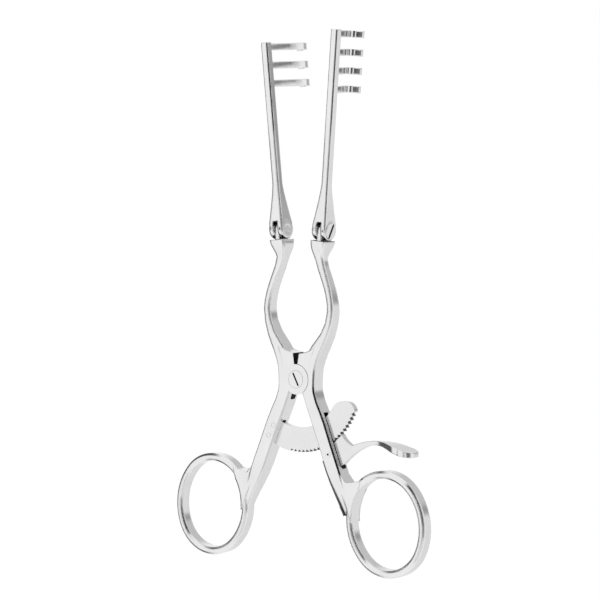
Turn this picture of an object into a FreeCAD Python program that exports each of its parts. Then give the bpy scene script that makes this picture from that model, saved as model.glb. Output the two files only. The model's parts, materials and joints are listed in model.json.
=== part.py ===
import FreeCAD, Part
import math
import os
from FreeCAD import Placement, Rotation, Vector

# Self retaining retractor with hinged blades, 165 mm long, in millimetres.
# It stands upright: +Z runs from the finger rings to the blade tips, +X to the
# right-hand half, +Y to the back, where the prongs point. The origin is on the
# axis of the pivot screw, in the plane of the handles' front faces. The pieces
# are modelled about the middle plane of the handles and moved back at the end.

# Finger rings
ring_hole_width = 23.9
ring_hole_height = 27.8
ring_wall = 2.35
ring_depth = 4.6
ring_bevel = 0.7
ring_lean = 9.5
ring_reach = 33.1
ring_drop = 41.9
ring_notch_drop = 30.4
ring_notch_fill = 1.2
ring_web_depth = 4.8

# Shanks, from the waist down to the rings
shank_angle = 22.4
shank_length = 32.4
shank_offset = 3.0
shank_width = 4.7
handle_depth = 5.5
edge_bevel = 0.5
bar_step = 4.0
shoulder_step = 1.3
waist_width = 5.2
waist_reach = 4.2

# Lap joint and its screw
lap_radius = 4.7
lap_clearance = 0.1
lap_gap = 0.06
crotch_angle = 7.0
crotch_height = 8.5
pivot_head_radius = 2.7
pivot_head_depth = 1.0
pivot_slot_length = 4.4
pivot_slot_angle = -28.0
pivot_shank_radius = 1.5
running_fit = 0.04
screw_slot_width = 0.55
screw_slot_depth = 0.5

# Arms, from the waist up to the shoulders
bulge_reach = 12.0
bulge_height = 21.3
arm_width = 2.3
arm_depth = 4.5
neck_reach = 7.35
neck_height = 37.2
neck_width = 3.1
neck_depth = 3.3
shoulder_flare = 2.6
shoulder_shift = 0.3
shoulder_margin = 0.2
shoulder_bevel = 0.4

# Blade hinges
hinge_reach = 8.1
hinge_height = 46.0
blade_lean = 5.0
blade_tilt = 2.0
fork_width = 5.1
fork_depth = 6.1
fork_block = 1.8
fork_edge = 0.3
shoulder_gap = 0.15
tongue_width = 1.6
tongue_radius = 2.3
hinge_side_gap = 0.05
fork_gap = 0.35
hinge_head_radius = 2.45
hinge_head_depth = 0.6
hinge_head_rise = 0.3
hinge_shank_radius = 1.1
hinge_slot_angle_right = 26.0
hinge_slot_angle_left = -35.0

# Blades and their prongs
blade_length_right = 61.2
blade_length_left = 57.75
bar_width = 2.55
bar_depth = 2.7
bar_bevel = 0.45
flare_height = 14.0
neck_shares = [0, 0.18, 0.38, 0.6, 0.8, 1]
neck_power = 1.2
prong_pitch = 5.65
prong_inset = 0.3
prong_height = 2.1
prong_thickness = 1.2
prong_droop = 0.4
prong_lean = 20.0
prong_straight = 12.6
prong_bend_radius = 2.4
prong_tip = 1.5
left_prong_count = 3
right_prong_count = 4

# Ratchet rack
rack_thickness = 1.8
rack_inner_radius = 15.1
rack_outer_radius = 22.7
tooth_depth = 0.8
tooth_angle = 3.75
tooth_slope_share = 0.8
first_tooth_angle = -7.5
rack_tooth_count = 21
rack_root_angle = -33.0
rack_end_margin = 4.5
rack_inner_corner = 4.1
rack_outer_corner = 3.8
rack_seat_gap = 0.03
rack_pocket_relief = 0.5
rivet_radius = 0.75
rivet_inset = 3.6

# Slot in the right shank, release lever and its pin
slot_width = 2.2
slot_above_rack = 3.6
slot_below_pin = 4.8
lever_thickness = 1.8
lever_clearance = 0.12
pin_below_rack = 1.5
pin_sideways = 0.3
pin_radius = 0.85
hub_radius = 2.2
nose_angle_start = 38.4
nose_angle_end = 45.8
tail_inset = 0.45
tail_above_slot_end = 1.2
tail_round = 1.4

# Thumb piece: upper and lower face, outwards and upwards from the pin
thumb_top = [(7.5, 3.1), (11.8, 4.6), (16.8, 5.3), (21.2, 4.95), (26.0, 3.8), (30.0, 2.8)]
thumb_under = [(29.9, 1.3), (25.8, 1.9), (20.9, 3.3), (16.4, 4.0), (11.0, 2.3), (4.8, -2.7)]
spoon_width = 7.0
spoon_length = 15.0
spoon_round = 4.4

# Leaf spring and its screw
leaf_thickness = 0.5
leaf_width = 3.0
leaf_below_pin = 1.2
leaf_length = 18.2
leaf_seat_gap = 0.02
leaf_screw_inset = 2.6
leaf_screw_head_radius = 1.2
leaf_screw_head_height = 0.7
leaf_screw_radius = 0.6
leaf_screw_length = 1.6

# Places along the shank that follow from the rack
slot_start = rack_inner_radius - slot_above_rack
pin_distance = rack_outer_radius + pin_below_rack
slot_end = pin_distance + slot_below_pin
leaf_start = pin_distance + leaf_below_pin
leaf_end = leaf_start + leaf_length
leaf_screw_place = leaf_end - leaf_screw_inset

tiny = 0.01
overlap = 1.0
y_axis = Vector(0, 1, 0)
x_axis = Vector(1, 0, 0)


def on_circle(radius, degrees):
    """Point at an angle counted from straight down towards +X."""
    a = math.radians(degrees)
    return Vector(radius * math.sin(a), 0, -radius * math.cos(a))


def extruded(edges, y_start, y_end):
    """Solid from a closed XZ outline, between two places on Y."""
    face = Part.Face(Part.Wire(edges))
    face.translate(Vector(0, y_start, 0))
    return face.extrude(Vector(0, y_end - y_start, 0))


def line(a, b):
    return Part.LineSegment(a, b).toShape()


def arc(a, middle, b):
    return Part.Arc(a, middle, b).toShape()


def smooth(points, start=None, end=None):
    """Spline edge through the points, with its end directions if given."""
    curve = Part.BSplineCurve()
    if start is None:
        curve.interpolate(points)
    else:
        curve.interpolate(Points=points, InitialTangent=start, FinalTangent=end)
    return curve.toShape()


def polygon(points):
    return [line(a, b) for a, b in zip(points, points[1:] + points[:1])]


def section(width, depth, bevel, centre, direction):
    """Bevelled rectangle across a direction in the XZ plane; width lies in XZ."""
    w = width / 2
    d = depth / 2
    corners = [(w, bevel - d), (w, d - bevel), (w - bevel, d), (bevel - w, d),
               (-w, d - bevel), (-w, bevel - d), (bevel - w, -d), (w - bevel, -d)]
    points = [Vector(x, y, 0) for x, y in corners]
    wire = Part.makePolygon(points + points[:1])
    angle = math.degrees(math.atan2(direction.x, direction.z))
    wire.Placement = Placement(centre, Rotation(y_axis, angle))
    return wire


def mirrored(shape):
    return shape.mirror(Vector(0, 0, 0), x_axis)


def fused(shapes):
    return shapes[0].fuse(shapes[1:]).removeSplitter()


def cross_pin(place, radius, length):
    """Plain pin along Y, centred on the middle plane."""
    return Part.makeCylinder(radius, length, place - y_axis * (length / 2), y_axis)


def shank_point(distance, sideways=0.0):
    """Place on the right shank: down its axis, then outwards from the axis."""
    a = math.radians(shank_angle)
    x = shank_offset + distance * math.sin(a) + sideways * math.cos(a)
    z = -distance * math.cos(a) + sideways * math.sin(a)
    return Vector(x, 0, z)


def hinge_placement():
    """Frame of the right hinge: origin on its axis, Z along the shoulder."""
    return Placement(Vector(hinge_reach, 0, hinge_height), Rotation(y_axis, blade_lean))


def blade_placement():
    """Frame of the right blade, which rests tilted a little to the front."""
    return hinge_placement().multiply(Placement(Vector(0, 0, 0), Rotation(x_axis, blade_tilt)))


def shoulder_drop():
    """From the hinge axis down to the top face of the shoulder."""
    return fork_depth / 2 + shoulder_gap


# The half frame: one bar from the ring through the waist to the shoulder

def frame_stations():
    """Centre, width and depth of the bar's cross sections, from the ring up."""
    ring_side = ring_reach - ring_hole_width / 2 - ring_wall / 2
    low = shank_point(shank_length)
    top = hinge_placement().multVec(Vector(0, 0, -shoulder_drop()))
    flare = hinge_placement().multVec(Vector(-shoulder_shift, 0, -shoulder_drop() - shoulder_flare))
    rise = bulge_height - crotch_height
    fall = neck_height - bulge_height
    out = bulge_reach - neck_reach
    return [
        (Vector(1.006 * ring_side, 0, -1.03 * ring_drop), 0.5 * ring_wall, 0.7 * ring_depth),
        (Vector(0.4 * low.x + 0.6 * ring_side, 0, -0.87 * ring_drop), 0.66 * shank_width, 0.97 * ring_depth),
        (low, 0.96 * shank_width, 0.96 * handle_depth),
        (shank_point(0.67 * shank_length), shank_width, handle_depth),
        (shank_point(0.35 * shank_length), 0.98 * shank_width, handle_depth),
        (shank_point(0.14 * shank_length), 0.96 * shank_width, handle_depth),
        (Vector(waist_reach, 0, 0), waist_width, handle_depth),
        (Vector(1.14 * waist_reach, 0, 0.5 * crotch_height), 0.93 * waist_width, handle_depth),
        (Vector(0.6 * bulge_reach, 0, 1.11 * crotch_height), 1.74 * arm_width, 0.97 * handle_depth),
        (Vector(0.833 * bulge_reach, 0, crotch_height + 0.42 * rise), 1.28 * arm_width, 1.1 * arm_depth),
        (Vector(0.95 * bulge_reach, 0, crotch_height + 0.7 * rise), 1.08 * arm_width, 1.03 * arm_depth),
        (Vector(bulge_reach, 0, bulge_height), arm_width, arm_depth),
        (Vector(bulge_reach - 0.15 * out, 0, bulge_height + 0.3 * fall), arm_width, 0.92 * arm_depth),
        (Vector(bulge_reach - 0.49 * out, 0, bulge_height + 0.59 * fall), 0.8 * neck_width, 1.12 * neck_depth),
        (Vector(bulge_reach - 0.82 * out, 0, bulge_height + 0.82 * fall), 0.9 * neck_width, neck_depth),
        (Vector(neck_reach, 0, neck_height), neck_width, neck_depth),
        (flare, 0.93 * fork_width, 0.86 * fork_depth),
        (top, fork_width + shoulder_margin, fork_depth + shoulder_margin),
    ]


class FrameBar:
    """Smooth centre line and sizes through the stations, drawn in short steps."""

    def __init__(self):
        stations = frame_stations()
        self.places = [0.0]
        for (a, _, _), (b, _, _) in zip(stations, stations[1:]):
            self.places.append(self.places[-1] + a.distanceToPoint(b))
        self.line = Part.BSplineCurve()
        self.line.interpolate(Points=[s[0] for s in stations], Parameters=self.places)
        self.sizes = Part.BSplineCurve()
        self.sizes.interpolate(Points=[Vector(s[1], s[2], 0) for s in stations], Parameters=self.places)
        self.length = self.places[-1]

    def direction(self, place):
        step = 0.2
        a = self.line.value(max(place - step, 0))
        b = self.line.value(min(place + step, self.length))
        return (b - a).normalize()

    def wire(self, place):
        size = self.sizes.value(place)
        if place > self.length - tiny:
            upright = hinge_placement().Rotation.multVec(Vector(0, 0, 1))
            return section(size.x, size.y, shoulder_bevel, self.line.value(place), upright)
        bevel = min(edge_bevel, 0.26 * size.x, 0.26 * size.y)
        return section(size.x, size.y, bevel, self.line.value(place), self.direction(place))

    def steps(self):
        """Places of all the cross sections, closer together at the shoulder."""
        shoulder_start = self.places[-3]
        places = []
        for a, b in zip(self.places, self.places[1:]):
            count = math.ceil((b - a) / (bar_step if a < shoulder_start else shoulder_step))
            places += [a + (b - a) * i / count for i in range(count)]
        return places + [self.length]

    def solid(self):
        return Part.makeLoft([self.wire(p) for p in self.steps()], True, True)

    def place_at_height(self, z):
        """Place along the bar where its centre line has this height."""
        low = 0.0
        high = self.length
        while high - low > tiny / 10:
            middle = (low + high) / 2
            if self.line.value(middle).z < z:
                low = middle
            else:
                high = middle
        return low

    def medial_point(self, place, outside=0.0):
        """Point on the face turned to the other half, or outside it."""
        below = max(p for p in self.steps() if p <= place)
        above = min(p for p in self.steps() if p > place)
        ends = []
        for p in (below, above):
            along = self.direction(p)
            across = Vector(-along.z, 0, along.x)
            ends.append(self.line.value(p) + across * (self.sizes.value(p).x / 2 + outside))
        along = (ends[1] - ends[0]).normalize()
        across = Vector(-along.z, 0, along.x)
        return ends[0] + (ends[1] - ends[0]) * ((place - below) / (above - below)), along, across


def ring_frame():
    """Frame of the right ring: origin in its middle, long axis leaning with the shank."""
    return Placement(Vector(ring_reach, 0, -ring_drop), Rotation(y_axis, -ring_lean))


def oval(offset):
    """Four tangent arcs of the ring's hole, or of a line outside it."""
    wide = ring_hole_width / 2
    tall = ring_hole_height / 2
    end_radius = (wide + wide * wide / tall) / 2
    side_radius = (wide * wide + tall * tall - 2 * tall * end_radius) / (2 * (wide - end_radius))
    step = side_radius - end_radius
    joint_x = wide - side_radius + (side_radius - wide) / step * (side_radius + offset)
    joint_z = (tall - end_radius) / step * (side_radius + offset)
    joints = [Vector(sx * joint_x, 0, sz * joint_z) for sx, sz in [(1, -1), (1, 1), (-1, 1), (-1, -1)]]
    middles = [Vector(wide + offset, 0, 0), Vector(0, 0, tall + offset),
               Vector(-wide - offset, 0, 0), Vector(0, 0, -tall - offset)]
    place = ring_frame().multVec
    return [arc(place(joints[i]), place(middles[i]), place(joints[(i + 1) % 4])) for i in range(4)]


def ring():
    """Oval ring, its bevelled section turned along four arcs."""
    pieces = []
    for edge in oval(ring_wall / 2):
        centre = edge.Curve.Center
        start = edge.valueAt(edge.FirstParameter)
        turn = math.degrees(edge.LastParameter - edge.FirstParameter)
        outline = ring_section(start, (start - centre).normalize())
        pieces.append(Part.Face(outline).revolve(centre, edge.Curve.Axis, turn))
    return pieces[0].fuse(pieces[1:])


def ring_section(centre, outward):
    """Section of the ring's wall, a rectangle with wide bevels."""
    w = ring_wall / 2
    d = ring_depth / 2
    quarter = [(w, d - ring_bevel), (w - ring_bevel, d)]
    half = quarter + [(-x, y) for x, y in reversed(quarter)]
    outline = half + [(x, -y) for x, y in reversed(half)]
    points = [centre + outward * x + y_axis * y for x, y in outline]
    return Part.makePolygon(points + points[:1])


def ring_hole():
    """Clears the ring's opening of the shank's end."""
    return extruded(oval(0), -ring_depth, ring_depth)


def ring_web():
    """Fills the notch between the shank's outer edge and the ring."""
    start = shank_point(0.95 * shank_length, 0.4 * shank_width)
    edge = shank_point(ring_notch_drop / math.cos(math.radians(shank_angle)), shank_width / 2)
    notch = Vector(edge.x + ring_notch_fill, 0, -ring_notch_drop)
    place = ring_frame().multVec
    far = place(Vector(-0.28 * ring_hole_width, 0, 0.49 * ring_hole_height))
    inside = place(Vector(-0.5 * ring_hole_width, 0, 0.05 * ring_hole_height))
    bottom = shank_point(1.1 * shank_length, 0.1 * shank_width)
    points = [start, notch, far, inside, bottom]
    return extruded(polygon(points), -ring_web_depth / 2, ring_web_depth / 2)


def crotch_web():
    """Full-depth web that joins the arm to the lap above the pivot."""
    a = math.radians(crotch_angle)
    foot = 0.8 * lap_radius
    low = Vector(foot * math.tan(a), 0, foot)
    top = Vector(crotch_height * math.tan(a), 0, 0.95 * crotch_height)
    arm = Vector(0.57 * bulge_reach, 0, 1.18 * crotch_height)
    root = Vector(1.1 * waist_reach, 0, foot)
    sag = Vector(0.29 * bulge_reach, 0, 1.005 * crotch_height)
    edges = [line(low, top), arc(top, sag, arm), line(arm, root), line(root, low)]
    return extruded(edges, -handle_depth / 2, handle_depth / 2)


def hinge_tongue():
    """Round-ended tongue that stands on the shoulder, in the hinge frame."""
    half = tongue_width / 2
    end = Part.makeCylinder(tongue_radius, tongue_width, Vector(-half, 0, 0), x_axis)
    foot = shoulder_drop() + 0.5
    block = Part.makeBox(tongue_width, 2 * tongue_radius, foot, Vector(-half, -tongue_radius, -foot))
    bore = Part.makeCylinder(hinge_shank_radius + running_fit, fork_width, Vector(-fork_width / 2, 0, 0), x_axis)
    tongue = fused([end, block]).cut(bore)
    tongue.Placement = hinge_placement()
    return tongue


def lap_disc(front):
    """Half-depth round lap about the pivot."""
    depth = handle_depth / 2 - lap_gap / 2
    y = -handle_depth / 2 if front else lap_gap / 2
    return Part.makeCylinder(lap_radius, depth, Vector(0, y, 0), y_axis)


def lap_recess(front):
    """Room for the other half's lap."""
    depth = handle_depth / 2 + lap_gap / 2 + overlap
    y = -handle_depth / 2 - overlap if front else -lap_gap / 2
    return Part.makeCylinder(lap_radius + lap_clearance, depth, Vector(0, y, 0), y_axis)


def crotch_cut():
    """Wedge of free space between the arms, on the side of the other half."""
    a = math.radians(crotch_angle)
    reach = crotch_height + 2 * overlap
    apex = 0.75 * (lap_radius + lap_clearance)
    points = [Vector(-reach, 0, apex), Vector(apex * math.tan(a), 0, apex),
              Vector(reach * math.tan(a), 0, reach), Vector(-reach, 0, reach)]
    wedge = extruded(polygon(points), -handle_depth, handle_depth)
    return wedge.cut(cross_pin(Vector(0, 0, 0), lap_radius + lap_clearance, 2 * handle_depth))


def half_frame(bar, front_lap):
    """One handle half in the right-hand place, before its own cuts."""
    body = bar.solid().fuse([crotch_web(), ring_web(), ring()])
    body = body.cut(ring_hole())
    body = body.cut(lap_recess(not front_lap))
    body = body.fuse([lap_disc(front_lap), hinge_tongue()])
    return body.cut(crotch_cut())


# Ratchet rack

def rack_angles():
    """Angles of the tooth tips, from the first to the last."""
    return [first_tooth_angle + i * tooth_angle for i in range(rack_tooth_count)]


def rack_end_angle():
    return rack_angles()[-1] + rack_end_margin


def rack_teeth(outer):
    """Saw teeth along the outer edge: a slope, then a steep face."""
    edges = []
    at = on_circle(outer, rack_angles()[0])
    for tip in rack_angles()[:-1]:
        low = on_circle(outer - tooth_depth, tip + (1 - tooth_slope_share) * tooth_angle)
        up = on_circle(outer, tip + tooth_angle)
        edges += [line(at, low), line(low, up)]
        at = up
    return edges


def rack_plate_outline():
    """Closed outline of the arc-shaped plate with its round free end."""
    inner = rack_inner_radius
    outer = rack_outer_radius
    start = rack_root_angle
    first = rack_angles()[0]
    last = rack_angles()[-1]
    end = rack_end_angle()
    bend = math.degrees(rack_inner_corner / inner)
    far = on_circle((inner + outer) / 2, end)
    quarter_out = on_circle(outer - 0.29 * rack_outer_corner, (last + end) / 2 + 0.2 * rack_end_margin)
    quarter_in = on_circle(inner + 0.22 * rack_inner_corner, end - 0.33 * bend)
    end_in = on_circle(inner, end - bend)
    edges = [arc(on_circle(outer, start), on_circle(outer, (start + first) / 2), on_circle(outer, first))]
    edges += rack_teeth(outer)
    edges += [arc(on_circle(outer, last), quarter_out, far), arc(far, quarter_in, end_in)]
    edges += [arc(end_in, on_circle(inner, (start + end) / 2), on_circle(inner, start)),
              line(on_circle(inner, start), on_circle(outer, start))]
    return edges


def rivet_places():
    """The two rivets, near the root end of the rack."""
    span = rack_outer_radius - rack_inner_radius
    angle = rack_root_angle + rivet_inset
    return [on_circle(rack_inner_radius + 0.25 * span, angle), on_circle(rack_inner_radius + 0.74 * span, angle)]


def ratchet_rack():
    half = rack_thickness / 2
    plate = extruded(rack_plate_outline(), -half, half)
    for place in rivet_places():
        plate = plate.cut(cross_pin(place, rivet_radius, handle_depth))
    return plate


def rack_pocket():
    """Slot in the left shank, open towards the other half."""
    inner = rack_inner_radius - rack_pocket_relief
    outer = rack_outer_radius + rack_seat_gap
    start = rack_root_angle - math.degrees(rack_seat_gap / outer)
    end = first_tooth_angle
    middle = (start + end) / 2
    edges = [arc(on_circle(inner, start), on_circle(inner, middle), on_circle(inner, end)),
             line(on_circle(inner, end), on_circle(outer, end)),
             arc(on_circle(outer, end), on_circle(outer, middle), on_circle(outer, start)),
             line(on_circle(outer, start), on_circle(inner, start))]
    half = rack_thickness / 2 + rack_seat_gap
    return extruded(edges, -half, half)


# The two halves

def pivot_bore():
    """Stepped bore in the front lap for the pivot screw."""
    front = -handle_depth / 2
    head = Part.makeCylinder(pivot_head_radius + running_fit, pivot_head_depth + running_fit + overlap,
                             Vector(0, front - overlap, 0), y_axis)
    return head.fuse(cross_pin(Vector(0, 0, 0), pivot_shank_radius + running_fit, 2 * handle_depth))


def handle_left(bar):
    body = mirrored(half_frame(bar, True))
    body = body.cut(rack_pocket())
    for place in rivet_places():
        body = body.cut(cross_pin(place, rivet_radius, 2 * handle_depth))
    return body.cut(pivot_bore())


def shank_slot():
    """Slot through the right shank from its inner to its outer edge."""
    half = shank_width
    points = [shank_point(slot_start, -half), shank_point(slot_start, half),
              shank_point(slot_end, half), shank_point(slot_end, -half)]
    return extruded(polygon(points), -slot_width / 2, slot_width / 2)


def pin_place():
    return shank_point(pin_distance, pin_sideways)


def leaf_along(bar, distance):
    """Place on the bar level with a distance down the shank."""
    return bar.place_at_height(shank_point(distance).z)


def leaf_screw_bore(bar):
    place, _, across = bar.medial_point(leaf_along(bar, leaf_screw_place))
    return Part.makeCylinder(leaf_screw_radius, leaf_screw_length + overlap, place + across * overlap, -across)


def handle_right(bar):
    body = half_frame(bar, False)
    body = body.cut(shank_slot())
    body = body.cut(cross_pin(pin_place(), pin_radius, 2 * handle_depth))
    body = body.cut(leaf_screw_bore(bar))
    return body.cut(cross_pin(Vector(0, 0, 0), pivot_shank_radius, 2 * handle_depth))


# Screws

def slotted(screw, head_face, axis, run, length):
    """Cut the driver slot: the head face centre, the way out and the slot's run."""
    side = axis.cross(run)
    corner = head_face - axis * screw_slot_depth - run * (length / 2) - side * (screw_slot_width / 2)
    far = corner + run * length
    width = side * screw_slot_width
    floor = Part.makePolygon([corner, far, far + width, corner + width, corner])
    return screw.cut(Part.Face(floor).extrude(axis * (screw_slot_depth + overlap)))


def pivot_screw():
    front = Vector(0, -handle_depth / 2, 0)
    head = Part.makeCylinder(pivot_head_radius, pivot_head_depth, front, y_axis)
    shank = Part.makeCylinder(pivot_shank_radius, handle_depth, front, y_axis)
    a = math.radians(pivot_slot_angle)
    run = Vector(math.sin(a), 0, math.cos(a))
    return slotted(fused([head, shank]), front, -y_axis, run, pivot_slot_length)


def hinge_screw(slot_angle):
    """Hinge screw in the blade's frame, its head on the outer side."""
    reach = fork_width / 2
    shank = Part.makeCylinder(hinge_shank_radius, 2 * reach, Vector(-reach, 0, 0), x_axis)
    seat = Vector(reach - hinge_head_depth, 0, 0)
    head = Part.makeCylinder(hinge_head_radius, hinge_head_depth + hinge_head_rise, seat, x_axis)
    a = math.radians(slot_angle)
    run = Vector(0, math.sin(a), math.cos(a))
    top = Vector(reach + hinge_head_rise, 0, 0)
    screw = slotted(fused([head, shank]), top, x_axis, run, 2 * hinge_head_radius + overlap)
    screw.Placement = blade_placement()
    return screw


# Blades

def prong_outline():
    """Plan of one prong in the XY plane of the blade: inwards, then hooked outwards."""
    a = math.radians(prong_lean)
    t = prong_thickness / 2
    forward = Vector(-math.sin(a), math.cos(a), 0)
    outward = Vector(math.cos(a), math.sin(a), 0)
    start = forward * (0.2 * bar_depth)
    bend = start + forward * prong_straight
    centre = bend + outward * prong_bend_radius
    middle = (y_axis - outward).normalize()
    tip = Vector(prong_tip, 0, 0)
    outer = prong_bend_radius + t
    inner = prong_bend_radius - t
    end_outer = centre + y_axis * outer + tip
    end_inner = centre + y_axis * inner + tip
    return [
        line(start - outward * t, bend - outward * t),
        arc(bend - outward * t, centre + middle * outer, centre + y_axis * outer),
        line(centre + y_axis * outer, end_outer),
        line(end_outer, end_inner),
        line(end_inner, centre + y_axis * inner),
        arc(centre + y_axis * inner, centre + middle * inner, bend + outward * t),
        line(bend + outward * t, start + outward * t),
        line(start + outward * t, start - outward * t),
    ]


def prong():
    """Hooked prong of a flat section, drooping a little towards its hook."""
    solid = Part.Face(Part.Wire(prong_outline())).extrude(Vector(0, 0, prong_height))
    solid.rotate(Vector(0, 0, 0), x_axis, -prong_droop)
    return solid


def blade_fork():
    """Foot of the blade: two round ears under a tapering neck."""
    ears = Part.makeCylinder(fork_depth / 2, fork_width, Vector(-fork_width / 2, 0, 0), x_axis)
    rims = [e for e in ears.Edges if e.BoundBox.XLength < tiny]
    ears = ears.makeChamfer(fork_edge, rims)
    block = Part.makeBox(fork_width, fork_depth, fork_block, Vector(-fork_width / 2, -fork_depth / 2, 0))
    uprights = [e for e in block.Edges if e.BoundBox.ZLength > fork_block / 2]
    return fused([ears, block.makeChamfer(bar_bevel, uprights)])


def blade_neck():
    """Taper from the fork to the slim bar."""
    upright = Vector(0, 0, 1)
    wires = []
    for share in neck_shares:
        height = fork_block + (flare_height - fork_block) * share
        taper = (1 - share) ** neck_power
        width = bar_width + (fork_width - bar_width) * taper
        depth = bar_depth + (fork_depth - bar_depth) * taper
        wires.append(section(width, depth, bar_bevel, Vector(0, 0, height), upright))
    return Part.makeLoft(wires, True, True)


def fork_slot():
    """Room for the tongue between the ears, and above it."""
    width = tongue_width + 2 * hinge_side_gap
    height = fork_depth + tongue_radius + fork_gap
    deep = fork_depth + 2 * overlap
    return Part.makeBox(width, deep, height, Vector(-width / 2, -deep / 2, -fork_depth))


def blade(prongs, length):
    """Hinged blade in its own frame, on the right-hand side."""
    foot = section(bar_width, bar_depth, bar_bevel, Vector(0, 0, flare_height), Vector(0, 0, 1))
    bar = Part.Face(foot).extrude(Vector(0, 0, length - flare_height))
    teeth = []
    for i in range(prongs):
        teeth.append(prong())
        teeth[-1].translate(Vector(0, 0, length - prong_inset - prong_height - i * prong_pitch))
    body = blade_fork().fuse([blade_neck(), bar] + teeth).cut(fork_slot())
    bore = Part.makeCylinder(hinge_shank_radius, 2 * fork_width, Vector(-fork_width, 0, 0), x_axis)
    seat = Vector(fork_width / 2 - hinge_head_depth, 0, 0)
    counterbore = Part.makeCylinder(hinge_head_radius, hinge_head_depth + overlap, seat, x_axis)
    body = body.cut(bore).cut(counterbore)
    body.Placement = blade_placement()
    return body


# Release lever and leaf spring

def lever_side_outline():
    """Outline of the lever in the XZ plane: nose, thumb piece and tail."""
    pin = pin_place()
    ride = rack_outer_radius + lever_clearance
    nose_low = on_circle(ride, nose_angle_start)
    nose_middle = on_circle(ride, (nose_angle_start + nose_angle_end) / 2)
    nose_tip = on_circle(ride, nose_angle_end)
    top = [pin + Vector(x, 0, z) for x, z in thumb_top]
    under = [pin + Vector(x, 0, z) for x, z in thumb_under]
    end = (top[-1] + under[0]) * 0.5 + Vector(0.45, 0, 0)
    dip = nose_tip + (top[0] - nose_tip) * 0.55 + Vector(-0.3, 0, -0.3)
    tail_end = slot_end - tail_above_slot_end
    tail_low = shank_point(tail_end, tail_inset + tail_round / 2 - shank_width / 2)
    tail_out = shank_point(tail_end - tail_round, tail_inset - shank_width / 2)
    tail_middle = (tail_low + tail_out) * 0.5 + Vector(-0.35, 0, -0.35)
    back = shank_point(pin_distance - 1.2, pin_sideways - hub_radius)
    return [
        arc(nose_low, nose_middle, nose_tip),
        arc(nose_tip, dip, top[0]),
        smooth(top),
        arc(top[-1], end, under[0]),
        smooth(under),
        arc(under[-1], (under[-1] + tail_low) * 0.5 + Vector(0, 0, -0.5), tail_low),
        arc(tail_low, tail_middle, tail_out),
        arc(tail_out, (tail_out + back) * 0.5 + Vector(0.3, 0, 0), back),
        arc(back, (back + nose_low) * 0.5 + Vector(-0.2, 0, 0), nose_low),
    ]


def lever_plan():
    """Outline of the lever seen from above: a strip that widens to a spoon."""
    thin = lever_thickness / 2
    wide = spoon_width / 2
    start = pin_place().x - 2 * hub_radius - shank_width
    tip = pin_place().x + thumb_top[-1][0]
    neck = tip - spoon_length
    full = tip - spoon_round
    z = -2 * ring_drop
    front = [Vector(neck, -thin, z), Vector(neck + 0.42 * (full - neck), -0.7 * thin - 0.3 * wide, z),
             Vector(full - 0.15 * spoon_length, 0.25 - wide, z), Vector(full, -wide, z)]
    rear = [Vector(p.x, -p.y, z) for p in reversed(front)]
    edges = [
        line(Vector(start, -thin, z), front[0]),
        smooth(front, x_axis, x_axis),
        arc(front[-1], Vector(tip + 0.5, 0, z), rear[0]),
        smooth(rear, -x_axis, -x_axis),
        line(rear[-1], Vector(start, thin, z)),
        line(Vector(start, thin, z), Vector(start, -thin, z)),
    ]
    return Part.Face(Part.Wire(edges)).extrude(Vector(0, 0, 2 * ring_drop))


def release_lever():
    side = extruded(lever_side_outline(), -spoon_width, spoon_width)
    lever = side.common(lever_plan())
    return lever.cut(cross_pin(pin_place(), pin_radius + running_fit, handle_depth))


def leaf_spring(bar):
    """Thin leaf on the inner edge of the shank, over the lower end of the slot."""
    start = leaf_along(bar, leaf_start)
    end = leaf_along(bar, leaf_end)
    wires = []
    for place in [end] + [p for p in bar.steps() if end < p < start] + [start]:
        centre, along, _ = bar.medial_point(place, leaf_thickness / 2 + leaf_seat_gap)
        wires.append(section(leaf_thickness, leaf_width, leaf_thickness / 5, centre, along))
    leaf = Part.makeLoft(wires, True, True)
    place, _, across = bar.medial_point(leaf_along(bar, leaf_screw_place))
    return leaf.cut(Part.makeCylinder(leaf_screw_radius, 2 * overlap, place - across * overlap, across))


def spring_screw(bar):
    """Small flat-topped screw through the lower end of the leaf."""
    place, _, across = bar.medial_point(leaf_along(bar, leaf_screw_place))
    seat = place + across * (leaf_thickness + 6 * leaf_seat_gap)
    shank = Part.makeCylinder(leaf_screw_radius, leaf_screw_length + leaf_thickness + leaf_screw_head_height / 2,
                              place - across * leaf_screw_length, across)
    return fused([Part.makeCylinder(leaf_screw_head_radius, leaf_screw_head_height, seat, across), shank])


def pieces():
    bar = FrameBar()
    upper, lower = [cross_pin(place, rivet_radius, handle_depth) for place in rivet_places()]
    return {
        "handle_left": handle_left(bar),
        "handle_right": handle_right(bar),
        "pivot_screw": pivot_screw(),
        "ratchet_rack": ratchet_rack(),
        "rack_rivet_upper": upper,
        "rack_rivet_lower": lower,
        "release_lever": release_lever(),
        "lever_pin": cross_pin(pin_place(), pin_radius, handle_depth),
        "leaf_spring": leaf_spring(bar),
        "spring_screw": spring_screw(bar),
        "blade_left": mirrored(blade(left_prong_count, blade_length_left)),
        "blade_right": blade(right_prong_count, blade_length_right),
        "hinge_screw_left": mirrored(hinge_screw(hinge_slot_angle_left)),
        "hinge_screw_right": hinge_screw(hinge_slot_angle_right),
    }


def main():
    os.makedirs("parts", exist_ok=True)
    for name, shape in pieces().items():
        shape.translate(y_axis * (handle_depth / 2))
        print(name, "valid", shape.isValid(), "solids", len(shape.Solids), "volume %.2f" % shape.Volume)
        shape.exportStep("parts/%s.step" % name)


main()
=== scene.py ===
import json
import math

import bmesh
import bpy
import numpy as np
from mathutils import Matrix, Vector


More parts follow.
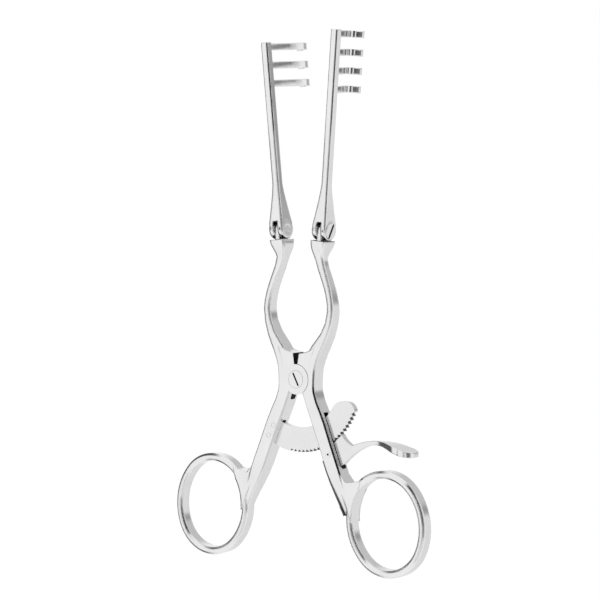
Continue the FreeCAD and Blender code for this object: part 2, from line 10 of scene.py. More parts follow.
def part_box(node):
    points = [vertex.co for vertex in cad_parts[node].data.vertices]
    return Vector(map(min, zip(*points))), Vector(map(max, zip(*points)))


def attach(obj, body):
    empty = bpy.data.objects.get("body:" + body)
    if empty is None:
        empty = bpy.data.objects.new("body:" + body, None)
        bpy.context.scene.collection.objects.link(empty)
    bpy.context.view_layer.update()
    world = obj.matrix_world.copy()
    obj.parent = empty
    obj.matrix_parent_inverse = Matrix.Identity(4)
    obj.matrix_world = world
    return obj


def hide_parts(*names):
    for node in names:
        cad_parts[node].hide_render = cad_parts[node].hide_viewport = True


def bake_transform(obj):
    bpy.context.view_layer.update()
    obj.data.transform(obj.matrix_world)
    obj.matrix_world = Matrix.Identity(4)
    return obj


bl_info = {
    "name": "Self retaining retractor",
    "version": (1, 0, 0),
    "blender": (4, 5, 0),
    "location": "3D View > Sidebar > Retractor",
    "description": "Dresses the retractor's frame with ground and polished steel",
    "category": "Object",
}

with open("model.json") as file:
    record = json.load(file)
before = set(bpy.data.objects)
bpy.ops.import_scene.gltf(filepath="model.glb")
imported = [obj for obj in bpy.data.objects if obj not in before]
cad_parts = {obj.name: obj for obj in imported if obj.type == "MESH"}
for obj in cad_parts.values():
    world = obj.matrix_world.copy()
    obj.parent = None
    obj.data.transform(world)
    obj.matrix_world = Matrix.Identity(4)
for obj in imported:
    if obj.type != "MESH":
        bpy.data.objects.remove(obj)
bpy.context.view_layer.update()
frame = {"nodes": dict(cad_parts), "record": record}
MM = 0.001

SHANK_LEAN = math.radians(22.4)      # each shank from the upright
SMOOTH_ANGLE = 28.0                  # degrees, edges that bend less are shaded as one surface
FLAT_ANGLE = math.radians(0.5)       # faces that meet at less are one face
MERGE_DISTANCE = 0.002 * MM          # corners that are nearer are one corner
EDGE_STEPS = 2                       # steps in the rounding of a broken edge
BOX_SLACK = 0.001 * MM               # how far outside a box a corner still counts as inside
FACING = 0.9                         # a face looks along an axis if this much of its normal does
EDGEWISE = 0.3                       # and stands edgewise to it if less than this does
FAR = 99                             # millimetres from the pivot, past every piece
HALF_DEPTH = 9                       # millimetres from the middle plane, past front and back


def linear(hex_colour):
    """Linear red, green and blue of an sRGB hex colour."""
    channels = [int(hex_colour[i:i + 2], 16) / 255 for i in (1, 3, 5)]
    return tuple(c / 12.92 if c <= 0.04045 else ((c + 0.055) / 1.055) ** 2.4 for c in channels)


def colour_property(name, description, hex_colour):
    """A colour that the user can change, written as sRGB and kept linear."""
    return bpy.props.FloatVectorProperty(name=name, description=description, subtype="COLOR",
                                         size=3, min=0, max=1, default=linear(hex_colour))


def length_property(name, description, millimetres):
    """A length that the user can change, written in millimetres and kept in metres."""
    return bpy.props.FloatProperty(name=name, description=description, subtype="DISTANCE",
                                   unit="LENGTH", min=0, default=millimetres * MM, precision=5)


class RetractorSizes(bpy.types.PropertyGroup):
    """Sizes of what is added to the frame."""

    edge_round: length_property(
        "Edge rounding", "Rounding left by polishing on the halves, the blades and the lever", 0.1)
    small_round: length_property(
        "Small rounding", "Rounding on the rack, its teeth and the leaf spring's screw", 0.05)
    # The pin mark is a dark disc of painted shade.
    pin_mark: length_property(
        "Pin mark", "Radius of the centre mark on the lever's pin", 0.33)
    # The hinge slot's floor is a dark plug of painted shade.
    hinge_slot_length: length_property(
        "Hinge slot length", "Length of the dark floor in the right hinge screw's slot", 4.4)
    hinge_slot_width: length_property(
        "Hinge slot width", "Width of the dark floor in the right hinge screw's slot", 0.84)
    leaf_widening: bpy.props.FloatProperty(
        name="Leaf widening", description="Width of the leaf spring as a share of the frame's",
        subtype="FACTOR", min=1, max=2, default=1.4)


class RetractorFinish(bpy.types.PropertyGroup):
    """Colours of the steel, of the painted shade and of the stage."""

    steel: colour_property("Polished steel", "Stainless steel of handles and blades", "#ECECEC")
    plate: colour_property("Plate steel", "Stainless steel of the rack and the lever", "#E9E9E9")
    screw: colour_property("Screw steel", "Turned stainless steel of screws and pins", "#ECECEC")
    # The spring colour is a painted shadow: the dark leaf stands for the shadow line in the gap
    # beside the right shank.
    spring: colour_property("Spring steel", "Heat darkened steel of the leaf spring", "#6C6D70")
    # The flank colour is painted shade between the teeth; the flanks' rougher milled gloss is
    # their own.
    flank: colour_property("Flank", "Milled flanks between the teeth", "#66676A")
    # The recess colour is painted shade, near black, for the slots, crotches and gaps where shade
    # falls.
    recess: colour_property("Recess", "Unpolished steel at the bottom of slots", "#08080A")
    floor: colour_property("Floor", "Pale floor and backdrop", "#F4F4F4")


def add_node(tree, kind, settings=None, links=None):
    """Add a node; settings are attributes or socket values, links are output sockets."""
    node = tree.nodes.new(kind)
    for key, value in (settings or {}).items():
        if key in node.inputs:
            node.inputs[key].default_value = value
        else:
            setattr(node, key, value)
    for key, socket in (links or {}).items():
        tree.links.new(socket, node.inputs[key])
    return node


def new_material(name):
    """A material and its node tree, with no node in it yet."""
    material = bpy.data.materials.new(name)
    material.use_nodes = True
    material.node_tree.nodes.clear()
    return material, material.node_tree


def colour_sockets(node):
    """The colour sockets of a mix node: its A, its B and its result."""
    inputs = [s for s in node.inputs if s.type == "RGBA"]
    outputs = [s for s in node.outputs if s.type == "RGBA"]
    return inputs[0], inputs[1], outputs[0]


EASING_SAMPLES = 8      # rays that the easing of an edge looks about with


def eased_normal(tree, place, easing):
    """Normal that turns softly over each edge, as polishing leaves it.

    easing is a radius in millimetres, or ramps of height a, height b, radius at a and radius
    at b, in millimetres. Beyond its two heights a ramp keeps its end values, and the largest
    radius of all the ramps counts.
    """
    if isinstance(easing, float):
        settings = {"samples": EASING_SAMPLES, "Radius": easing * MM}
        return add_node(tree, "ShaderNodeBevel", settings).outputs["Normal"]
    split = add_node(tree, "ShaderNodeSeparateXYZ", None, {"Vector": place.outputs["Object"]})
    radius = None
    for start, end, first, last in easing:
        ramp = add_node(tree, "ShaderNodeMapRange",
                        {"From Min": start * MM, "From Max": end * MM,
                         "To Min": first * MM, "To Max": last * MM},
                        {"Value": split.outputs["Z"]}).outputs["Result"]
        radius = ramp if radius is None else add_node(
            tree, "ShaderNodeMath", {"operation": "MAXIMUM"}, {0: radius, 1: ramp}).outputs[0]
    return add_node(tree, "ShaderNodeBevel", {"samples": EASING_SAMPLES},
                    {"Radius": radius}).outputs["Normal"]


# A half is crisp on its lap and shank, and round on the arm above and the ring below them.
HANDLE_EASING = ((4, 10, 0.15, 0.95), (-28, -33, 0.15, 0.95))
# A blade is round on its fork and its lower bar, and crisper further up, with the prongs.
BLADE_EASING = ((78, 72, 0.4, 0.85),)

PLATE_TURN = math.radians(70)

# Ground and polished finishes: colour, roughness, spacing and length of the lines in
# millimetres, turn of the lines, and easing of the edges.
GROUND_FINISHES = {
    # Forgings, ground down each shank and mopped: bright, with long soft reflections.
    "ground steel left": ("steel", 0.16, 0.35, 14, SHANK_LEAN, HANDLE_EASING),
    "ground steel right": ("steel", 0.16, 0.35, 14, -SHANK_LEAN, HANDLE_EASING),
    # Milled bars, mopped most: the clearest reflections, drawn out upwards.
    "ground blade steel": ("steel", 0.14, 0.3, 16, 0, BLADE_EASING),
    # Rolled plate, brushed nearly level: a slightly softer sheen, and round edges on the lever.
    "satin plate steel": ("plate", 0.18, 0.3, 6, PLATE_TURN, 0.12),
    "satin lever steel": ("plate", 0.18, 0.3, 6, PLATE_TURN, 0.4),
    # Turned bar: short marks and crisp edges.
    "turned screw steel": ("screw", 0.18, 0.3, 1.2, 0, 0.06),
    # Rolled spring strip, duller, with lines down the strip, and painted dark as the shadow in the
    # gap beside the shank.
    "spring steel painted shadow": ("spring", 0.3, 0.25, 10, -SHANK_LEAN, 0.22),
}

# Dark finishes that paint shade, with milling marks in their gloss: colour.
PAINTED_SHADE_FINISHES = {"flank painted shade": "flank", "recess painted shade": "recess"}

NOISE_RANGE = {"From Min": 0.3, "From Max": 0.7}    # between which most of a noise lies
CLOUD_SIZE = 7                                      # millimetres, faint clouds in the polish
MILL_MARK = 0.3                                     # millimetres, marks of the milling cutter


def ground_steel(name, colour, roughness, grain, streak, turn, easing):
    """Martensitic stainless steel, belt ground along its length and then mop polished.

    The belt leaves fine lines along the piece, which spread reflections across it, and
    polishing leaves the whole surface bright with soft, slightly uneven gloss and eased
    edges, which draw the thin dark and bright lines along every edge.
    grain is the line spacing and streak the line length in millimetres, turn leans the lines,
    and easing is as eased_normal takes it. The real lines are about 0.05 mm apart; they are
    drawn coarser so that they show.
    """
    material, tree = new_material(name)
    place = add_node(tree, "ShaderNodeTexCoord")
    turned = add_node(tree, "ShaderNodeMapping", {"Rotation": (0, turn, 0)},
                      {"Vector": place.outputs["Object"]})
    along = add_node(tree, "ShaderNodeMapping",
                     {"Scale": (1 / (grain * MM), 1 / (grain * MM), 1 / (streak * MM))},
                     {"Vector": turned.outputs["Vector"]})
    lines = add_node(tree, "ShaderNodeTexNoise", {"Scale": 1, "Detail": 2, "Roughness": 0.6},
                     {"Vector": along.outputs["Vector"]})
    cloud = add_node(tree, "ShaderNodeTexNoise",
                     {"Scale": 1 / (CLOUD_SIZE * MM), "Detail": 2, "Roughness": 0.5},
                     {"Vector": place.outputs["Object"]})
    gloss = add_node(tree, "ShaderNodeMapRange",
                     {**NOISE_RANGE, "To Min": 0.85 * roughness, "To Max": 1.2 * roughness},
                     {"Value": lines.outputs["Fac"]})
    shade = add_node(tree, "ShaderNodeMapRange", {**NOISE_RANGE, "To Min": 0.955, "To Max": 1.0},
                     {"Value": cloud.outputs["Fac"]})
    tint = add_node(tree, "ShaderNodeMix",
                    {"data_type": "RGBA", "blend_type": "MULTIPLY", "Factor": 1})
    base, factor, result = colour_sockets(tint)
    base.default_value = (*colour, 1)
    tree.links.new(shade.outputs["Result"], factor)
    eased = eased_normal(tree, place, easing)
    relief_or_shade_plug = add_node(tree, "ShaderNodeBump", {"Strength": 0.06, "Distance": 0.01 * MM},
                      {"Height": lines.outputs["Fac"], "Normal": eased})
    surface = add_node(tree, "ShaderNodeBsdfPrincipled", {"Metallic": 1.0},
                       {"Base Color": result, "Roughness": gloss.outputs["Result"],
                        "Normal": relief_or_shade_plug.outputs["Normal"]})
    add_node(tree, "ShaderNodeOutputMaterial", None, {"Surface": surface.outputs["BSDF"]})
    return material


def painted_shade_steel(name, colour):
    """Steel with milling marks in its gloss, painted dark as the shade between teeth and in slots.
    """
    material, tree = new_material(name)
    place = add_node(tree, "ShaderNodeTexCoord")
    marks = add_node(tree, "ShaderNodeTexNoise", {"Scale": 1 / (MILL_MARK * MM), "Detail": 3},
                     {"Vector": place.outputs["Object"]})
    gloss = add_node(tree, "ShaderNodeMapRange", {"To Min": 0.45, "To Max": 0.7},
                     {"Value": marks.outputs["Fac"]})
    surface = add_node(tree, "ShaderNodeBsdfPrincipled",
                       {"Base Color": (*colour, 1), "Metallic": 0.4, "Specular IOR Level": 0.2},
                       {"Roughness": gloss.outputs["Result"]})
    add_node(tree, "ShaderNodeOutputMaterial", None, {"Surface": surface.outputs["BSDF"]})
    return material


def finish_named(name):
    """The material of that name, made on first use."""
    if name in bpy.data.materials:
        return bpy.data.materials[name]
    colours = bpy.context.scene.retractor_finish
    if name in PAINTED_SHADE_FINISHES:
        return painted_shade_steel(name, getattr(colours, PAINTED_SHADE_FINISHES[name]))
    colour, *rest = GROUND_FINISHES[name]
    return ground_steel(name, getattr(colours, colour), *rest)


def add_piece(name, mesh, body, materials):
    """Put a mesh into the scene as a piece that rides on a body, or on none yet."""
    piece = bpy.data.objects.new(name, mesh)
    bpy.context.scene.collection.objects.link(piece)
    for material in materials:
        piece.data.materials.append(finish_named(material))
    if body:
        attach(piece, body)
    return piece


def read(collection, attribute, width=1, kind=float):
    """One attribute of all the members of a mesh's collection, as an array."""
    values = np.empty(len(collection) * width, dtype=kind)
    collection.foreach_get(attribute, values)
    return values.reshape(-1, width) if width > 1 else values


def node_points(node):
    """Corners of a node, in metres."""
    return read(frame["nodes"][node].data.vertices, "co", 3)


def inside(points, low, high):
    """Which points lie in a box of millimetres."""
    low = np.array(low) * MM - BOX_SLACK
    high = np.array(high) * MM + BOX_SLACK
    return np.all((points >= low) & (points <= high), axis=1)


def paint_recess_shade(mesh, zones):
    """Give the second material, the painted shade, to the faces that lie wholly in one of the
    zones.

    A zone is a function of the points and of the middles and normals of the faces. It returns
    which points are inside and which faces qualify.
    """
    points = read(mesh.vertices, "co", 3)
    starts = read(mesh.polygons, "loop_start", kind=np.int32)
    corners = read(mesh.loops, "vertex_index", kind=np.int32)
    middles = read(mesh.polygons, "center", 3)
    normals = read(mesh.polygons, "normal", 3)
    index = np.zeros(len(starts), dtype=np.int32)
    for zone in zones:
        near, facing = zone(points, middles, normals)
        whole = np.logical_and.reduceat(near[corners], starts)
        index[whole & facing] = 1
    mesh.polygons.foreach_set("material_index", index)


def copied_node(node, name, body, materials, width, smooth_angle=SMOOTH_ANGLE, zones=()):
    """A node's shape as one closed mesh, with its edges broken by a small rounding."""
    mesh = frame["nodes"][node].data.copy()
    mesh.name = name
    mesh.materials.clear()
    shape = bmesh.new()
    shape.from_mesh(mesh)
    bmesh.ops.remove_doubles(shape, verts=shape.verts, dist=MERGE_DISTANCE)
    bmesh.ops.dissolve_degenerate(shape, edges=shape.edges, dist=MERGE_DISTANCE)
    bmesh.ops.dissolve_limit(shape, angle_limit=FLAT_ANGLE, verts=shape.verts, edges=shape.edges)
    for face in shape.faces:
        face.smooth = True
        face.material_index = 0
    limit = math.radians(smooth_angle)
    for edge in shape.edges:
        edge.smooth = edge.is_manifold and edge.calc_face_angle(0) < limit
    shape.to_mesh(mesh)
    shape.free()
    if zones:
        paint_recess_shade(mesh, zones)
    piece = add_piece(name, mesh, body, materials)
    if width:
        rounding = piece.modifiers.new("Broken edges", "BEVEL")
        rounding.width = width
        rounding.segments = EDGE_STEPS
        rounding.limit_method = "ANGLE"
        rounding.angle_limit = limit
    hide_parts(node)
    return piece


def middle():
    """The plane half way through the handles, in millimetres."""
    low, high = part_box("ratchet_rack")
    return (low.y + high.y) / 2 / MM


def mid_box(node):
    """Middle of a node's box, in metres."""
    low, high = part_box(node)
    return (np.array(low) + np.array(high)) / 2


def joint_line(name):
    """Place in millimetres and axis of a joint."""
    for joint in frame["record"]["behaviour"]["joints"]:
        if joint["name"] == name:
            return np.array(joint["pos_m"]) / MM, np.array(joint["axis"], dtype=float)
    raise KeyError(name)


def cut_across(mesh, start, end, cuts):
    """Cut a mesh into short lengths between two points."""
    shape = bmesh.new()
    shape.from_mesh(mesh)
    for step in np.linspace(0, 1, cuts + 2)[1:-1]:
        bmesh.ops.bisect_plane(shape, geom=shape.verts[:] + shape.edges[:] + shape.faces[:],
                               plane_co=start + (end - start) * step, plane_no=end - start)
    for face in shape.faces:
        face.smooth = True
    shape.to_mesh(mesh)
    shape.free()


def slot_zone(half_width, low, high):
    """Walls of a cut along the middle plane, between two heights, in millimetres."""
    y = middle()

    def zone(points, middles, normals):
        near = inside(points, (-FAR, y - half_width, low), (FAR, y + half_width, high))
        return near, np.ones(len(normals), dtype=bool)
    return zone


def wall_zone(half_width, low, high, axis):
    """Walls that look along an axis, about the middle and between two heights, in millimetres."""
    y = middle()
    axis = np.array(axis, dtype=float)

    def zone(points, middles, normals):
        near = inside(points, (-half_width, y - HALF_DEPTH, low),
                      (half_width, y + HALF_DEPTH, high))
        return near, np.abs(normals @ axis) > FACING
    return zone


def around_zone(place, axis, radius, near, far):
    """Faces whose middle lies within a radius of a line, between two distances along it."""
    def zone(points, middles, normals):
        offset = middles / MM - place
        along = offset @ axis
        across = np.linalg.norm(offset - along[:, None] * axis, axis=1)
        return np.ones(len(points), dtype=bool), (across < radius) & (along > near) & (along < far)
    return zone


def arch_zone(place, axis, radius, half_width):
    """Faces of a cut across an axis that close it at its end, near a place."""
    def zone(points, middles, normals):
        near = np.abs((points / MM - place) @ axis) < half_width
        close = np.linalg.norm(middles / MM - place, axis=1) < radius
        return near, close & (np.abs(normals @ axis) < EDGEWISE)
    return zone


PLUG_DEPTH = 0.05       # millimetres under the face that the plug stands on
PLUG_RISE = 0.02        # millimetres over it
PLUG_CORNERS = 40


def plug(name, place, along, across, half_length, half_width, power):
    """Flat closed plug whose outline is a superellipse, standing a hair proud of a face.

    The outline follows |u / half_length| ^ power + |v / half_width| ^ power = 1, with u along
    and v across, all in millimetres. It runs from under the face to a hair over it.
    """
    t = np.linspace(0, 2 * np.pi, PLUG_CORNERS, endpoint=False)
    u = half_length * np.sign(np.cos(t)) * np.abs(np.cos(t)) ** (2 / power)
    v = half_width * np.sign(np.sin(t)) * np.abs(np.sin(t)) ** (2 / power)
    outline = u[:, None] * along + v[:, None] * across
    out = np.cross(along, across)
    points = np.concatenate([place + outline - out * PLUG_DEPTH,
                             place + outline + out * PLUG_RISE])
    index = np.arange(PLUG_CORNERS)
    after = np.roll(index, -1)
    sides = np.stack([index, after, after + PLUG_CORNERS, index + PLUG_CORNERS], -1).tolist()
    bottom = index[::-1].tolist()
    top = (index + PLUG_CORNERS).tolist()
    mesh = bpy.data.meshes.new(name)
    mesh.from_pydata((points * MM).tolist(), [], sides + [bottom, top])
    return mesh


class RETRACTOR_OT_handles(bpy.types.Operator):
    """The two halves, each with its shank, lap, arm and shoulder"""

    bl_idname = "retractor.handles"
    bl_label = "Handles"

    # Walls painted dark as shade: half width, lowest and highest height in millimetres from the
    # pivot.
    crotch = (2.3, 3.5, 9.3)
    under_ears = (14, 41, 44)
    rack_pocket = (0.96, -25.5, -9.5)
    lever_slot = (1.14, -31, -8)

    # Dark plugs on the shanks that paint the shadow in the gaps there, in millimetres: name and
    # side, how far it is right of the shank's line through the pivot, down that line and behind
    # the middle plane, then the half length, half width and power of its outline.
    shade_patches = (
        ("lap_shade_patch", "left", -0.423, 6.2, 0.2, 1.1, 1.1, 5),
        ("slot_shade_patch", "right", 5.123, 30.0, 0.45, 0.85, 1.2, 3),
    )

    def execute(self, context):
        rounding = context.scene.retractor_sizes.edge_round
        crotch = wall_zone(*self.crotch, (1, 0, 0))
        under_ears = wall_zone(*self.under_ears, (0, 0, 1))
        cuts = {"left": slot_zone(*self.rack_pocket), "right": slot_zone(*self.lever_slot)}
        for side, cut in cuts.items():
            copied_node(f"handle_{side}", f"handle_{side}_body", f"{side}_half",
                        [f"ground steel {side}", "recess painted shade"], rounding,
                        zones=(crotch, cut, under_ears))
        for relief_or_shade_plug in self.shade_patches:
            self.add_shade_patch(*relief_or_shade_plug)
        return {"FINISHED"}

    def add_shade_patch(self, name, side, rightward, downward, behind, half_length, half_width, power):
        """Dark plug of painted shadow on the face of a shank that looks to the right."""
        lean = SHANK_LEAN if side == "right" else -SHANK_LEAN
        down = np.array([math.sin(lean), 0, -math.cos(lean)])
        right = np.array([math.cos(lean), 0, math.sin(lean)])
        place = right * rightward + down * downward + np.array([0, middle() + behind, 0])
        relief_or_shade_plug = plug(name, place, down, np.cross(right, down), half_length, half_width, power)
        add_piece(name, relief_or_shade_plug, f"{side}_half", ["recess painted shade"])


class RETRACTOR_OT_screws(bpy.types.Operator):
    """The pivot screw, the leaf spring's screw and the two hinge screws"""

    bl_idname = "retractor.screws"
    bl_label = "Screws"

    # Slots in the heads, whose walls are painted dark as shade, in millimetres: the radius in
    # which they lie, how far under the face their walls start, and how far under it they end at
    # most.
    pivot_slot_radius = 2.68
    pivot_slot_end = 0.7
    hinge_slot_radius = 1.6
    hinge_slot_end = 0.6
    slot_start = 0.02

    hinge_slot_turn = math.radians(26)
    hinge_slot_power = 8

    def execute(self, context):
        sizes = context.scene.retractor_sizes
        slot = around_zone(np.zeros(3), np.array([0, 1.0, 0]), self.pivot_slot_radius,
                           self.slot_start, self.pivot_slot_end)
        copied_node("pivot_screw", "pivot_screw_turned", "right_half",
                    ["turned screw steel", "recess painted shade"], 0, zones=[slot])
        copied_node("spring_screw", "spring_screw_turned", "right_half",
                    ["turned screw steel"], sizes.small_round)
        for side in ("left", "right"):
            place, axis, top = self.head(side)
            slot = around_zone(place, axis, self.hinge_slot_radius,
                               top - self.hinge_slot_end, top - self.slot_start)
            copied_node(f"hinge_screw_{side}", f"hinge_screw_{side}_turned", f"{side}_blade",
                        ["turned screw steel", "recess painted shade"], 0, zones=[slot])
        self.add_slot_shade(sizes.hinge_slot_length / 2 / MM, sizes.hinge_slot_width / 2 / MM)
        return {"FINISHED"}

    def head(self, side):
        """Place and axis of a hinge, and how far along it its screw's face is, in millimetres."""
        place, axis = joint_line(f"tilt_{side}")
        if side == "left":
            axis = -axis
        top = ((node_points(f"hinge_screw_{side}") / MM - place) @ axis).max()
        return place, axis, top

    def add_slot_shade(self, half_length, half_width):
        """Dark plug of painted shade that fills the slot of the right hinge screw up to its face.
        """
        place, axis, top = self.head("right")
        forth = np.array([0, 1.0, 0])
        up = np.cross(axis, forth)
        run = math.sin(self.hinge_slot_turn) * forth + math.cos(self.hinge_slot_turn) * up
        floor = plug("hinge_slot_shade", place + axis * top, run, np.cross(axis, run),
                     half_length, half_width, self.hinge_slot_power)
        add_piece("hinge_slot_shade", floor, "right_blade", ["recess painted shade"])


class RETRACTOR_OT_rack(bpy.types.Operator):
    """The ratchet rack and its two rivets"""

    bl_idname = "retractor.rack"
    bl_label = "Ratchet rack"

    tooth_height = 1.05     # millimetres
    steepness = 0.5         # largest share of a flank's normal that points away from the pivot

    def flanks(self, points, middles, normals):
        """The steep flanks between the teeth, which look along the rack and are painted dark as
        shade.
        """
        reach = np.hypot(points[:, 0], points[:, 2]) / MM
        outward = middles[:, [0, 2]] / np.linalg.norm(middles[:, [0, 2]], axis=1)[:, None]
        radial = np.abs(np.sum(outward * normals[:, [0, 2]], axis=1))
        flank = (radial < self.steepness) & (np.abs(normals[:, 1]) < EDGEWISE)
        return reach > reach.max() - self.tooth_height, flank

    def execute(self, context):
        rounding = context.scene.retractor_sizes.small_round
        copied_node("ratchet_rack", "ratchet_rack_plate", "left_half",
                    ["satin plate steel", "flank painted shade"], rounding, zones=[self.flanks])
        for node in ("rack_rivet_upper", "rack_rivet_lower"):
            copied_node(node, f"{node}_ground", "left_half",
                        ["ground steel left"], 0)
        return {"FINISHED"}


class RETRACTOR_OT_lever(bpy.types.Operator):
    """The release lever, its pin and its leaf spring"""

    bl_idname = "retractor.lever"
    bl_label = "Release lever"

    lever_smooth_angle = 40.0   # degrees, so that the spoon's rim stays soft
    leaf_cuts = 18              # across the leaf, between its screw and its pressing end
    leaf_tip = 0.3              # millimetres, height of the leaf's end that presses on the tail

    def execute(self, context):
        sizes = context.scene.retractor_sizes
        copied_node("release_lever", "release_lever_body", "lever",
                    ["satin lever steel"], sizes.edge_round, self.lever_smooth_angle)
        copied_node("lever_pin", "lever_pin_ground", "right_half",
                    ["turned screw steel"], 0)
        self.add_pin_mark(sizes.pin_mark / MM)
        leaf = copied_node("leaf_spring", "leaf_spring_strip", None,
                           ["spring steel painted shadow"], 0)
        # Widened so that the leaf's dark edge, a painted shadow, shows beside the shank.
        y = middle() * MM
        for vertex in leaf.data.vertices:
            vertex.co.y = y + (vertex.co.y - y) * sizes.leaf_widening
        screwed = mid_box("spring_screw")
        pressed = self.leaf_end()
        cut_across(leaf.data, screwed, pressed, self.leaf_cuts)
        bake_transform(leaf)
        return {"FINISHED"}

    def add_pin_mark(self, radius):
        """Dark disc of painted shade for the centre mark on the front end of the lever's pin."""
        place, _ = joint_line("release")
        place[1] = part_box("lever_pin")[0].y / MM
        mark = plug("lever_pin_centre_shade", place, np.array([1.0, 0, 0]), np.array([0, 0, 1.0]),
                    radius, radius, 2)
        add_piece("lever_pin_centre_shade", mark, "right_half", ["recess painted shade"])

    def leaf_end(self):
        """Middle of the end of the leaf that presses on the lever's tail, in metres."""
        points = node_points("leaf_spring")
        top = points[points[:, 2] > points[:, 2].max() - self.leaf_tip * MM]
        return (top.min(axis=0) + top.max(axis=0)) / 2


class RETRACTOR_OT_blades(bpy.types.Operator):
    """The two hinged blades with their prongs"""

    bl_idname = "retractor.blades"
    bl_label = "Blades"

    # The closed end of each fork, whose walls are painted dark as shade, in millimetres: from the
    # hinge, and half the gap.
    fork_reach = 8
    fork_half_gap = 0.9

    def execute(self, context):
        rounding = context.scene.retractor_sizes.edge_round
        for side in ("left", "right"):
            fork = arch_zone(*joint_line(f"tilt_{side}"), self.fork_reach, self.fork_half_gap)
            copied_node(f"blade_{side}", f"blade_{side}_bar", f"{side}_blade",
                        ["ground blade steel", "recess painted shade"], rounding, zones=[fork])
        return {"FINISHED"}


def edge_fade(count, soft):
    """Values along a card: 0 at both ends, 1 past the soft share, joined by a smooth step."""
    t = np.linspace(0, 1, count)
    ramp = np.clip(np.minimum(t, 1 - t) / soft, 0, 1)
    return ramp * ramp * (3 - 2 * ramp)


def grid_mesh(name, points):
    """Mesh of a rectangular grid of points."""
    rows, columns = points.shape[:2]
    index = np.arange(rows * columns).reshape(rows, columns)
    faces = np.stack([index[:-1, :-1], index[1:, :-1], index[1:, 1:], index[:-1, 1:]], -1)
    mesh = bpy.data.meshes.new(name)
    mesh.from_pydata(points.reshape(-1, 3).tolist(), [], faces.reshape(-1, 4).tolist())
    return mesh


def seen_directly(tree):
    """1 for rays from the camera, a reflection or a transmission, 0 for light."""
    rays = add_node(tree, "ShaderNodeLightPath").outputs
    seen = rays["Is Camera Ray"]
    for kind in ("Is Glossy Ray", "Is Transmission Ray"):
        seen = add_node(tree, "ShaderNodeMath", {"operation": "MAXIMUM"},
                        {0: seen, 1: rays[kind]}).outputs[0]
    return seen


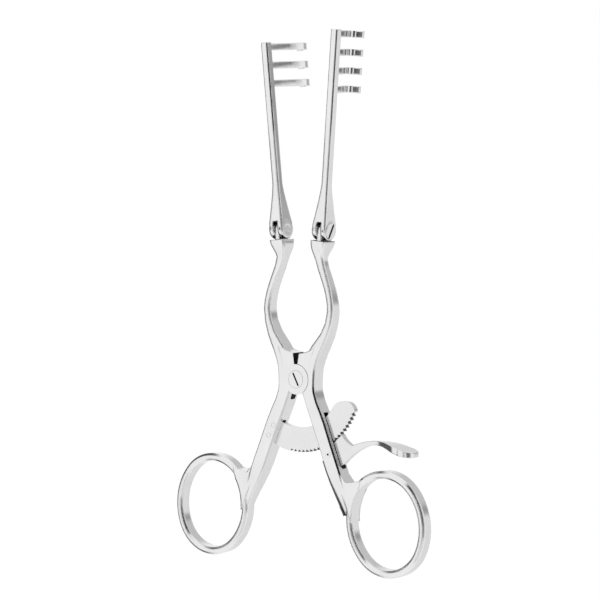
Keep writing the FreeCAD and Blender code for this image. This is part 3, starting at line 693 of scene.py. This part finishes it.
class RETRACTOR_OT_stage(bpy.types.Operator):
    """The floor, the cards, the light and the camera"""

    bl_idname = "retractor.stage"
    bl_label = "Stage"

    # Lengths in metres, the lens and its sensor in millimetres.
    camera_azimuth = math.radians(36.0)
    camera_elevation = math.radians(3.4025)
    camera_roll = math.radians(0.597)
    camera_distance = 0.70137
    camera_aim = Vector((-0.000596, 0.00275, 0.024335))
    camera_lens = 136.44
    camera_sensor = 36
    camera_clip = (0.05, 20)

    light_strength = 0.9
    floor_half = 6.0
    floor_height = -0.25
    # What the camera sees of the floor: a grey that takes the shadow, and a glow that lifts it
    # to white.
    floor_shaded = 0.4
    floor_glow = 0.65

    card_radius = 1.3
    card_spacing = 0.02
    card_points = 25

    # Cards that only reflections see: azimuth range, elevation range, brightness and soft share.
    # A later card stands before an earlier one.
    cards = (
        ("dark flag front", 3, 19, -60, 62, 0.3, 0.2),
        ("grey flag front right", 38, 64, -62, -14, 0.7, 0.2),
        ("dark flag front right", 31, 76, -22, 8, 0.2, 0.15),
        ("black flag front right", 30, 78, -6, 60, 0.01, 0.08),
        ("grey wall right", 112, 218, -78, 78, 0.84, 0.1),
        ("grey wall upper right", 116, 212, 4, 72, 0.6, 0.2),
        ("dark flag right", 126, 166, 2, 18, 0.34, 0.4),
        ("grey wall back", 228, 246, -14, 14, 0.35, 0.3),
        ("dark flag left", 232, 308, -60, 62, 0.1, 0.1),
    )

    def execute(self, context):
        self.add_world(context.scene)
        self.add_floor(context.scene)
        for order, card in enumerate(self.cards):
            self.add_card(*card, self.card_radius - self.card_spacing * order)
        self.add_camera(context.scene)
        context.scene.view_settings.view_transform = "Standard"
        return {"FINISHED"}

    def add_world(self, scene):
        """White to the camera and in reflections, a little less as light."""
        world = bpy.data.worlds.new("Studio")
        scene.world = world
        world.use_nodes = True
        tree = world.node_tree
        tree.nodes.clear()
        seen = seen_directly(tree)
        light = add_node(tree, "ShaderNodeBackground",
                         {"Color": (1, 1, 1, 1), "Strength": self.light_strength})
        white = add_node(tree, "ShaderNodeBackground", {"Color": (1, 1, 1, 1), "Strength": 1})
        mixed = add_node(tree, "ShaderNodeMixShader", None,
                         {0: seen, 1: light.outputs[0], 2: white.outputs[0]})
        add_node(tree, "ShaderNodeOutputWorld", None, {"Surface": mixed.outputs[0]})

    def add_floor(self, scene):
        """Pale floor that is white to the camera and still takes the shadow.

        Reflections pass it by and see the world, which is as white.
        """
        half = self.floor_half
        corners = [(x * half, y * half, self.floor_height)
                   for x, y in ((-1, -1), (1, -1), (1, 1), (-1, 1))]
        mesh = bpy.data.meshes.new("Floor")
        mesh.from_pydata(corners, [], [(0, 1, 2, 3)])
        floor = bpy.data.objects.new("Floor", mesh)
        scene.collection.objects.link(floor)
        material, tree = new_material("pale floor")
        seen = seen_directly(tree)
        matt = add_node(tree, "ShaderNodeBsdfDiffuse",
                        {"Color": (*scene.retractor_finish.floor, 1)})
        shaded = add_node(tree, "ShaderNodeBsdfDiffuse", {"Color": (*[self.floor_shaded] * 3, 1)})
        glow = add_node(tree, "ShaderNodeEmission",
                        {"Color": (1, 1, 1, 1), "Strength": self.floor_glow})
        white = add_node(tree, "ShaderNodeAddShader", None,
                         {0: shaded.outputs[0], 1: glow.outputs[0]})
        mixed = add_node(tree, "ShaderNodeMixShader", None,
                         {0: seen, 1: matt.outputs[0], 2: white.outputs[0]})
        add_node(tree, "ShaderNodeOutputMaterial", None, {"Surface": mixed.outputs[0]})
        mesh.materials.append(material)
        floor.visible_glossy = False

    def add_card(self, name, left, right, low, high, brightness, soft, radius):
        """Curved card on a sphere about the retractor, which only reflections see.

        Each point lies at the radius from the aim, in the direction of its azimuth and elevation.
        The card fades out over the soft share of its width and height at each side.
        """
        a, e = np.meshgrid(np.radians(np.linspace(left, right, self.card_points)),
                           np.radians(np.linspace(low, high, self.card_points)), indexing="ij")
        points = np.stack([np.sin(a) * np.cos(e), -np.cos(a) * np.cos(e), np.sin(e)], -1) * radius
        points += np.array(self.camera_aim)
        mesh = grid_mesh(name, points)
        fade = edge_fade(self.card_points, soft)
        cover = np.minimum.outer(fade, fade).reshape(-1).astype(np.float32)
        mesh.attributes.new("cover", "FLOAT", "POINT").data.foreach_set("value", cover)
        card = bpy.data.objects.new(name, mesh)
        bpy.context.scene.collection.objects.link(card)
        material, tree = new_material(name)
        share = add_node(tree, "ShaderNodeAttribute", {"attribute_name": "cover"})
        clear = add_node(tree, "ShaderNodeBsdfTransparent")
        shine = add_node(tree, "ShaderNodeEmission",
                         {"Color": (*[brightness] * 3, 1), "Strength": 1})
        mixed = add_node(tree, "ShaderNodeMixShader", None,
                         {0: share.outputs["Fac"], 1: clear.outputs[0], 2: shine.outputs[0]})
        add_node(tree, "ShaderNodeOutputMaterial", None, {"Surface": mixed.outputs[0]})
        mesh.materials.append(material)
        card.visible_camera = False
        card.visible_diffuse = False
        card.visible_shadow = False

    def add_camera(self, scene):
        """Camera that looks at the aim from its azimuth, elevation and distance, with its roll."""
        a = self.camera_azimuth
        e = self.camera_elevation
        r = self.camera_roll
        back = Vector((math.sin(a) * math.cos(e), -math.cos(a) * math.cos(e), math.sin(e)))
        level = Vector((math.cos(a), math.sin(a), 0))
        upright = back.cross(level)
        right = level * math.cos(r) + upright * math.sin(r)
        up = upright * math.cos(r) - level * math.sin(r)
        place = self.camera_aim + back * self.camera_distance
        data = bpy.data.cameras.new("Camera")
        data.lens = self.camera_lens
        data.sensor_width = self.camera_sensor
        data.clip_start, data.clip_end = self.camera_clip
        camera = bpy.data.objects.new("Camera", data)
        scene.collection.objects.link(camera)
        rows = [[right[i], up[i], back[i], place[i]] for i in range(3)] + [[0, 0, 0, 1]]
        camera.matrix_world = Matrix(rows)
        scene.camera = camera


OPERATORS = (RETRACTOR_OT_handles, RETRACTOR_OT_screws, RETRACTOR_OT_rack, RETRACTOR_OT_lever,
             RETRACTOR_OT_blades, RETRACTOR_OT_stage)


class RETRACTOR_PT_panel(bpy.types.Panel):
    """Buttons for the groups of pieces and for the stage"""

    bl_label = "Retractor"
    bl_idname = "RETRACTOR_PT_panel"
    bl_space_type = "VIEW_3D"
    bl_region_type = "UI"
    bl_category = "Retractor"

    def draw(self, context):
        """One button for each group of pieces, and one for the stage."""
        for operator in OPERATORS:
            self.layout.operator(operator.bl_idname)


CLASSES = (RetractorSizes, RetractorFinish, *OPERATORS, RETRACTOR_PT_panel)


def register():
    """Make the sizes, the colours, the operators and the panel known."""
    for cls in CLASSES:
        bpy.utils.register_class(cls)
    bpy.types.Scene.retractor_sizes = bpy.props.PointerProperty(type=RetractorSizes)
    bpy.types.Scene.retractor_finish = bpy.props.PointerProperty(type=RetractorFinish)


def unregister():
    """Take back what register made known."""
    del bpy.types.Scene.retractor_finish
    del bpy.types.Scene.retractor_sizes
    for cls in reversed(CLASSES):
        bpy.utils.unregister_class(cls)


def main():
    """Make all the pieces and the stage."""
    register()
    for operator in OPERATORS:
        group, name = operator.bl_idname.split(".")
        getattr(getattr(bpy.ops, group), name)()


if __name__ == "__main__":
    main()
